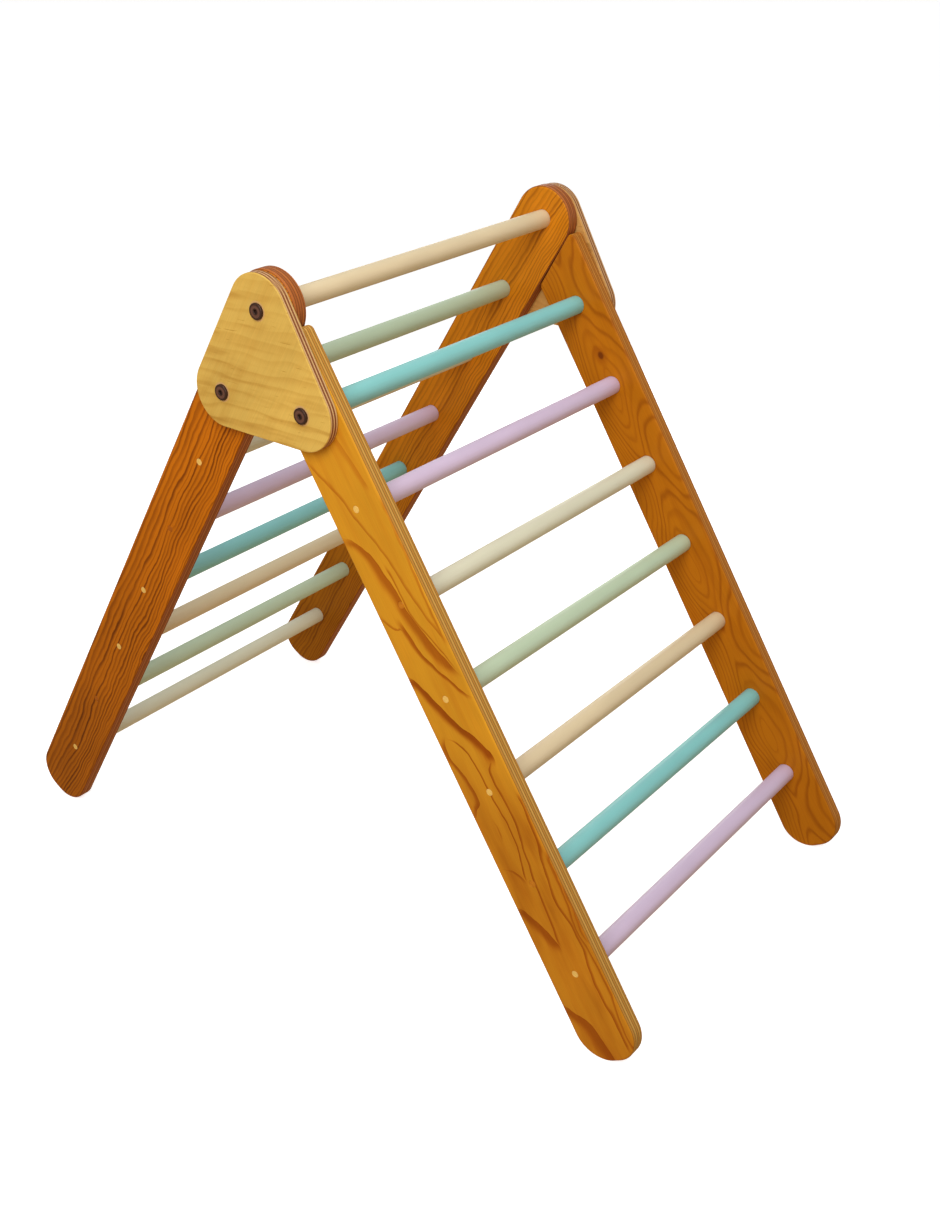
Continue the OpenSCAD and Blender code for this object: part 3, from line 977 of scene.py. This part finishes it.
class TRIANGLE_OT_stage(bpy.types.Operator):
    """Camera, soft light and a pale floor"""

    bl_idname = "triangle.stage"
    bl_label = "Stage"

    def execute(self, context):
        stage = context.scene.triangle_stage
        self.place_camera(context, stage)
        for name, place, height, side in LIGHTS:
            soft_light(name, place, height, side, getattr(stage, name + "_power"))
        context.scene.world = self.light_studio(stage)
        context.scene.view_settings.view_transform = "Standard"
        self.lay_floor(stage)
        return {"FINISHED"}

    def place_camera(self, context, stage):
        azimuth, elevation, roll = (
            stage.camera_azimuth, stage.camera_elevation, stage.camera_roll)
        forward = Vector((-math.sin(azimuth) * math.cos(elevation),
                          math.cos(azimuth) * math.cos(elevation), -math.sin(elevation)))
        level = Vector((math.cos(azimuth), math.sin(azimuth), 0))
        above = level.cross(forward)
        right = level * math.cos(roll) + above * math.sin(roll)
        turn = Matrix((right, right.cross(forward), -forward)).transposed().to_4x4()
        data = bpy.data.cameras.new("camera")
        data.sensor_width = 36
        data.lens = stage.camera_lens
        camera = bpy.data.objects.new("camera", data)
        camera.matrix_world = Matrix.Translation(stage.camera_place) @ turn
        context.scene.collection.objects.link(camera)
        context.scene.camera = camera

    def light_studio(self, stage):
        """Even light from above, a bright band at the horizon, and a warm bounce from below."""
        graph = Graph(bpy.data.worlds.new("studio"))
        height = graph.split(graph.add("Mapping"), "Generated")[2]
        above = graph.mix(graph.rise(height, 0.05, 0.25), opaque(stage.horizon), opaque(stage.sky))
        light = graph.add("Background")
        graph.plug(light.inputs["Color"],
                   graph.mix(graph.rise(height, -0.12, -0.02), opaque(stage.bounce), above))
        graph.plug(graph.add("OutputWorld").inputs["Surface"], light.outputs[0])
        return graph.owner

    def lay_floor(self, stage):
        """Lays the floor under a dome. Only the camera sees them, so they take no light away."""
        half = stage.floor_size / 2
        flat = bmesh.new()
        flat.faces.new([flat.verts.new((x, y, 0)) for x, y in
                        ((-half, -half), (half, -half), (half, half), (-half, half))])
        dome = bmesh.new()
        bmesh.ops.create_uvsphere(dome, u_segments=64, v_segments=32, radius=half)
        graph = new_graph("pale_floor")
        x, y, z = graph.place()
        cloud = graph.noise(x / 300, y / 300, z, 2)
        grain = graph.noise(x / 2, y / 2, z, 2)
        base = graph.tone(opaque(colours().floor), 1 + 0.01 * cloud)
        pale = graph.finish(base, 0.8 + 0.1 * grain, grain, 0.00005, Emission_Color=(1, 1, 1, 1),
                            Emission_Strength=stage.floor_glow, Specular_IOR_Level=0.1)
        for name, mesh in (("floor", flat), ("backdrop", dome)):
            piece = new_piece(name, mesh)
            piece.data.shade_smooth()
            piece.data.materials.append(pale)
            piece.visible_diffuse = False
            piece.visible_glossy = False
            piece.visible_shadow = False


# ---- Panel and running order ----
STEPS = (
    TRIANGLE_OT_stage, TRIANGLE_OT_rear_rails, TRIANGLE_OT_front_rails, TRIANGLE_OT_gussets,
    TRIANGLE_OT_rungs, TRIANGLE_OT_bolts, TRIANGLE_OT_hidden_steel, TRIANGLE_OT_plugs,
)


class TRIANGLE_PT_panel(bpy.types.Panel):
    """Sizes and colours of the climbing triangle, and a button for each of its steps"""

    bl_idname = "TRIANGLE_PT_panel"
    bl_label = "Climbing Triangle"
    bl_space_type = "VIEW_3D"
    bl_region_type = "UI"
    bl_category = "Climbing Triangle"

    def draw(self, context):
        for group in (context.scene.triangle_shapes, context.scene.triangle_colours,
                      context.scene.triangle_stage):
            column = self.layout.column(align=True)
            for name in group.bl_rna.properties.keys():
                if name not in ("rna_type", "name"):
                    column.prop(group, name)
        for step in STEPS:
            self.layout.operator(step.bl_idname)


GROUPS = {
    "triangle_shapes": TriangleShapes,
    "triangle_colours": TriangleColours,
    "triangle_stage": TriangleStage,
}
CLASSES = (*GROUPS.values(), *STEPS, TRIANGLE_PT_panel)


def register():
    for item in CLASSES:
        bpy.utils.register_class(item)
    for name, group in GROUPS.items():
        setattr(bpy.types.Scene, name, PointerProperty(type=group))


def unregister():
    for name in GROUPS:
        delattr(bpy.types.Scene, name)
    for item in reversed(CLASSES):
        bpy.utils.unregister_class(item)


def main():
    register()
    for step in STEPS:
        group, name = step.bl_idname.split(".")
        getattr(getattr(bpy.ops, group), name)()


if __name__ == "__main__":
    main()
